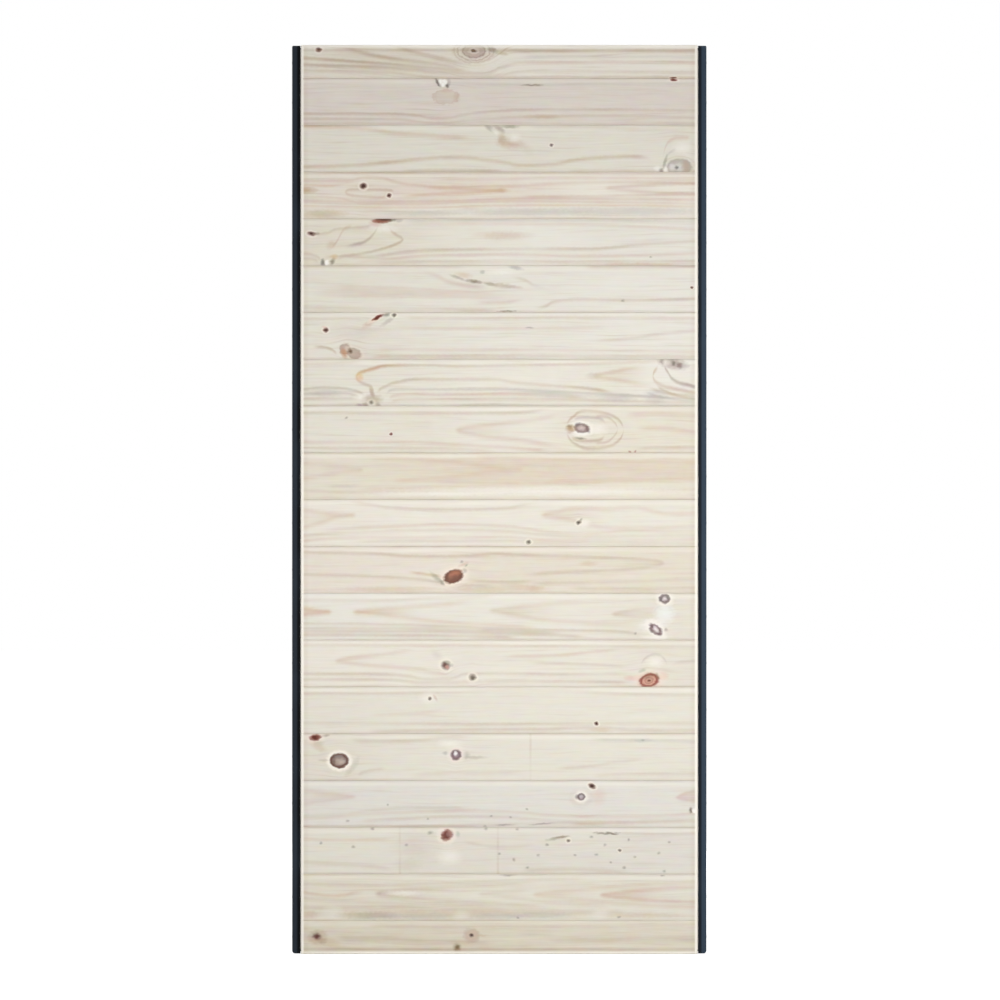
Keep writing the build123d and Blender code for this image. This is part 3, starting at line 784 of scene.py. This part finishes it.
pine("board_18", 18, linen, mist, 0.2, figure=[
    tone_over(0.04, (-280, -150, 446, 447), orange),
    line(0.26, 3, (-445, 28), (-350, 24), (-230, 26), tone=orange),
    line(0.22, 4, (-445, -26), (-300, -34), (-230, -42)),
    line(0.26, 4, (40, -46), (140, -42), (300, -48)),
    line(0.22, 3, (-90, 24), (-40, 12), (0, 8), (90, 14)),
    line(0.22, 3, (250, 42), (350, 38), (445, 40)),
], spots=[
    ("shade", -190, 10, 44, 36), wash("#CDC4B3", 0.35, -205, -33, 32, 15), ("bloom", -112, -14, 26, 16),
    wash("#A99C82", 0.75, 128, 28, 24, 4, 12), wash("#7F7462", 0.6, 140, 31, 18, 2.5, 5),
    ("scar", 240, 39, 30, 3), ("scar", 256, 38, 14, 2.4, -8), ("bloom", -118, 34, 18, 17),
    ("slit", -118, 35, 13, 12, 35), wash("#7D5048", 0.7, -123, 33, 7, 11, -20),
    wash("#A67E75", 0.85, -111, 38, 8, 9, 20), wash("#BDC2B2", 0.7, -93, 37, 6, 7),
    ("speck", -155, 40, 8, 5), ("grey_pin", 155, 22, 4.5, 4), ("speck", 207, 31, 5.5, 4),
    ("grey_pin", 270, 1, 4, 3.5), ("speck", 33, -20, 4, 5), ("speck", -285, 49, 6, 4),
    ("speck", 170, -10, 4, 3), ("speck", 250, -26, 4, 3),
    *specks(5, 4, (237, 13), (218, -9), (87, -10), (107, 13), (358, -5), (280, -38), (370, -46), (63, -38),
            (0, -7), (-327, 9), (-208, 13), (-30, 49), (40, 48)),
    *specks(4, 4, (290, 24), (304, -14), (381, 19), (-400, 17)),
], seams=[-223, -3])
pine("board_19", 19, oat, linen, 0.3, figure=[
    *tongue(0.4, 4, (-282, 8), [(-240, 14), (-190, 18), (-80, 24), (100, 33)],
            [(-240, 2), (-180, -3), (-60, -10), (120, -22)]),
    *tongue(0.24, 4, (-50, 8), [(-10, 14), (80, 22), (260, 34)], [(-10, 2), (80, -7), (260, -20)]),
    *tongue(0.32, 4, (72, 7), [(110, 13), (180, 18), (300, 27), (445, 35)],
            [(110, 1), (180, -5), (300, -15), (445, -22)], "#C8A98A", 0.3),
    *tongue(0.5, 3.5, (222, 6), [(260, 12), (320, 18), (445, 24)], [(260, 0), (320, -5), (445, -10)],
            "#CBA592", 0.5),
    line(0.4, 3, (-445, 14), (-410, 7), (-370, 4), (-330, 9), (-300, 14), tone=orange),
    line(0.32, 3, (-445, -2), (-380, -6), (-300, -10), (-180, -14), (0, -20)),
    line(0.28, 3, (-445, 30), (-300, 28), (-100, 34), (200, 44)),
    line(0.28, 4, (-445, -22), (-300, -22), (-100, -26), (100, -30), (300, -34)),
], spots=[
    wash("#F0EEE0", 0.3, 40, 8, 230, 36), ("smudge", -120, -36, 280, 9), ("stain", -265, -42, 60, 9),
    ("stain", -160, -43, 60, 9), ("stain", -10, -42, 60, 8), ("stain", 90, -40, 70, 8),
    wash("#EAE6DB", 0.6, -373, -34, 24, 15), wash("#EAE6DB", 0.55, -85, -40, 18, 11),
    wash("#ECE8DD", 0.6, 228, -38, 20, 13), ("smudge", 330, -40, 90, 6), ("smudge", -425, -38, 20, 8),
    ("speck", 42, -45, 4, 4), ("speck", 268, -44, 6, 3), wash("#AFA08A", 0.4, -300, -40, 60, 9),
    ("speck", 20, 50, 20, 3), ("speck", 366, 49, 6, 3), ("bloom", -215, 10, 40, 6),
])
pine("bottom_board", 20, dun, dun, 0.3, figure=[
    tone_over(0.13, (60, 160, 446, 447), "#F0EBDD"),
    line(0.4, 3, (-300, 28), (-100, 26), (100, 27), (445, 29)),
    line(0.3, 5, (-380, 0), (-200, -6), (0, -14)),
    line(0.3, 5, (100, -6), (250, -4), (445, -2)),
], spots=[
    ("smudge", -390, -10, 40, 12, -10), wash("#A98C74", 0.6, -408, 2, 22, 15),
    wash("#B79C84", 0.5, -396, -9, 8, 7), wash("#6F4541", 1, -409, 3, 9.5, 7.5),
    wash("#5F3834", 0.9, -410, 3, 6, 5), wash("#A98C76", 0.75, -62, 5, 17.5, 15.5),
    wash("#D9C7B2", 0.95, -62, 5, 14, 12.5), wash("#412824", 1, -62, 5, 5.5, 5), ("smudge", -40, 4, 16, 3),
    wash("#A08A66", 0.7, -95, -22, 10, 10), wash("#6B5636", 0.9, -94, -23, 6, 6),
])


# Steel channels. Each is a 3 mm sheet folded to a U and powder coated in a dark slate with a fine
# grain. It slides over the board ends and hides their tenons. The coat is painted darker on the left
# channel and lighter on the right, as painted shade and painted light, and each lip gets a painted shade.
def coated_steel(name, coat_as_lit, lip_shade):
    """A coating in one colour, with a painted shade along the lip of a channel."""
    material, surface, start = new_finish("coating_" + name)
    spot = start.node("TexCoord", output="Object")
    inward = start.node("SeparateXYZ", None, {0: spot}).math("ABSOLUTE") * 1000
    grain = start.node("TexNoise", None, {"Vector": spot, "Scale": 900.0, "Detail": 2.0})
    cloud = start.node("TexNoise", None, {"Vector": spot, "Scale": 7.0, "Detail": 3.0})
    # Painted shade on the lip, the inner part of the flange next to the wood
    colour = inward.smooth(451, 456).between(lip_shade, coat_as_lit)
    colour = colour.mixed(paint("#3C4854"), cloud.smooth(0.4, 0.75) * 0.2)
    roughness = 0.5 + cloud * 0.12 + (grain - 0.5) * 0.12
    connect(surface, colour, roughness, grain, 0.0002, 0.06)
    return material


# One coat, painted darker on the left channel and lighter on the right as painted shade and painted light;
# each lip colour is a painted shade
channel_coats_lit_and_shaded = {"left_channel": ("#272D35", "#030405"), "right_channel": ("#354250", "#14171D")}
for name, (coat_as_lit, lip_shade) in channel_coats_lit_and_shaded.items():
    dress(name, coated_steel(name, coat_as_lit, lip_shade))

# Screws. A black wafer-head screw with a hexagon socket goes through the channel's web into the
# end of each board, on the board's centre line.
screw_head_radius, screw_head_height = 0.0052, 0.0011
screw_head_sunk = 0.0002
socket_radius, socket_depth = 0.0017, 0.0009
screw_black = "#16181B"
channel_face = cad_box[1][0]


def linked(name, data):
    """A new object in the scene."""
    thing = bpy.data.objects.new(name, data)
    bpy.context.scene.collection.objects.link(thing)
    return thing


def shaped(name, form):
    """A new piece with the shape of a bmesh."""
    mesh = bpy.data.meshes.new(name)
    form.to_mesh(mesh)
    form.free()
    return linked(name, mesh)


def screw_heads(name, side):
    """A head on every board's centre line, against the outside of one channel."""
    heads = bmesh.new()
    loops = []
    for segments, radius, height, closed in (
        (24, screw_head_radius, -screw_head_sunk, True),
        (24, screw_head_radius * 0.86, screw_head_height * 0.72, False),
        (24, screw_head_radius * 0.55, screw_head_height, False),
        (6, socket_radius, screw_head_height, False),
        (6, socket_radius * 0.95, screw_head_height - socket_depth, True),
    ):
        loop = bmesh.ops.create_circle(heads, segments=segments, radius=radius, cap_ends=closed)["verts"]
        bmesh.ops.translate(heads, verts=loop, vec=(0, 0, height))
        loops.append(set(loop))
    for outer, inner in zip(loops, loops[1:]):
        edges = [edge for edge in heads.edges if set(edge.verts) <= outer or set(edge.verts) <= inner]
        bmesh.ops.bridge_loops(heads, edges=edges)
    bmesh.ops.recalc_face_normals(heads, faces=heads.faces[:])
    bmesh.ops.rotate(heads, verts=heads.verts[:], matrix=Matrix.Rotation(side * math.pi / 2, 3, "Y"))
    bmesh.ops.translate(heads, verts=heads.verts[:], vec=(side * channel_face, 0, 0))
    one = heads.verts[:] + heads.edges[:] + heads.faces[:]
    for low, high in joint_places.values():
        copy = bmesh.ops.duplicate(heads, geom=one)["geom"]
        verts = [part for part in copy if isinstance(part, bmesh.types.BMVert)]
        bmesh.ops.translate(heads, verts=verts, vec=(0, 0, (low + high) / 2000))
    verts = [part for part in one if isinstance(part, bmesh.types.BMVert)]
    bmesh.ops.delete(heads, geom=verts, context="VERTS")
    return shaped(name, heads)


screw_material = coated_steel("screws", screw_black, screw_black)
for name, side in (("left_screws", -1), ("right_screws", 1)):
    screws = screw_heads(name, side)
    screws.data.materials.append(screw_material)
    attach(screws, "root")


# Studio. The leaf stands on a pale floor before a white ground. A soft lamp to the right of the
# camera lights its face, another lights its back, and weaker ones graze its sides and top.
def seen_plainly(start):
    """1 for what the camera sees directly, in a reflection or through glass, and 0 for light on its way."""
    path = start.node("LightPath", output="Is Camera Ray")
    return path.math("MAXIMUM", path.out("Is Glossy Ray")).math("MAXIMUM", path.out("Is Transmission Ray"))


ambient_strength = 0.25
world = bpy.data.worlds.new("studio")
bpy.context.scene.world = world
world.use_nodes = True
room = Shade(world.node_tree)
dim, white = (
    room.node("Background", None, {"Color": (1, 1, 1, 1), "Strength": strength})
    for strength in (ambient_strength, 1.0)
)
ground = room.node("MixShader", None, {0: seen_plainly(room), 1: dim, 2: white})
world.node_tree.links.new(ground.socket, world.node_tree.nodes["World Output"].inputs["Surface"])

floor_level = cad_box[0][2] - 0.0004
slab = bmesh.new()
bmesh.ops.create_grid(slab, x_segments=1, y_segments=1, size=14)
bmesh.ops.translate(slab, verts=slab.verts[:], vec=(0, 0, floor_level))
floor = shaped("floor", slab)
material, _, start = new_finish("floor")
matt = start.node("BsdfDiffuse", None, {"Color": (0.5, 0.5, 0.5, 1)})
glow = start.node("Emission", None, {"Color": (1, 1, 1, 1), "Strength": 0.9})
both = start.node("AddShader", None, {0: matt, 1: glow})
shown = start.node("MixShader", None, {0: seen_plainly(start), 1: matt, 2: both})
start.tree.links.new(shown.socket, start.tree.nodes["Material Output"].inputs["Surface"])
floor.data.materials.append(material)


def lamp(name, place, target, width, height, power):
    """A soft rectangular lamp, turned towards its target."""
    light = bpy.data.lights.new(name, "AREA")
    light.shape, light.size, light.size_y, light.energy = "RECTANGLE", width, height, power
    stand = linked(name, light)
    stand.location = place
    stand.rotation_euler = (Vector(target) - Vector(place)).to_track_quat("-Z", "Y").to_euler()


lamp("key_lamp", (0.3, -2.3, -1.08), (0.05, 0, -1.08), 1.0, 1.0, 33)
lamp("left_lamp", (-2.2, -0.5, -1.0), (-0.4, 0, -1.0), 0.6, 2.2, 13)
lamp("right_lamp", (2.2, -0.5, -1.0), (0.4, 0, -1.0), 0.6, 2.2, 13)
lamp("top_lamp", (0, -0.8, 4.0), (0, 0, -1.0), 2.0, 1.0, 70)
lamp("back_lamp", (0, 2.3, -1.08), (0, 0, -1.08), 0.9, 1.2, 38)

# Camera. It stands square to the face of the leaf at half its height, far enough back that the
# sides stay hidden.
camera_distance = 7.0
frame_width = 2.243  # of the picture, at the face of the leaf
sensor_width = 36
aim_right, aim_down = 0.0016, 0.0009  # the leaf isn't quite in the middle of the picture
leaf_middle = (cad_box[0][2] + cad_box[1][2]) / 2
camera = linked("camera", bpy.data.cameras.new("camera"))
camera.data.sensor_width = sensor_width
camera.data.lens = sensor_width * camera_distance / frame_width
camera.location = (aim_right, cad_box[0][1] - camera_distance, leaf_middle - aim_down)
camera.rotation_euler = (math.pi / 2, 0, 0)
bpy.context.scene.camera = camera
bpy.context.scene.view_settings.view_transform = "Standard"
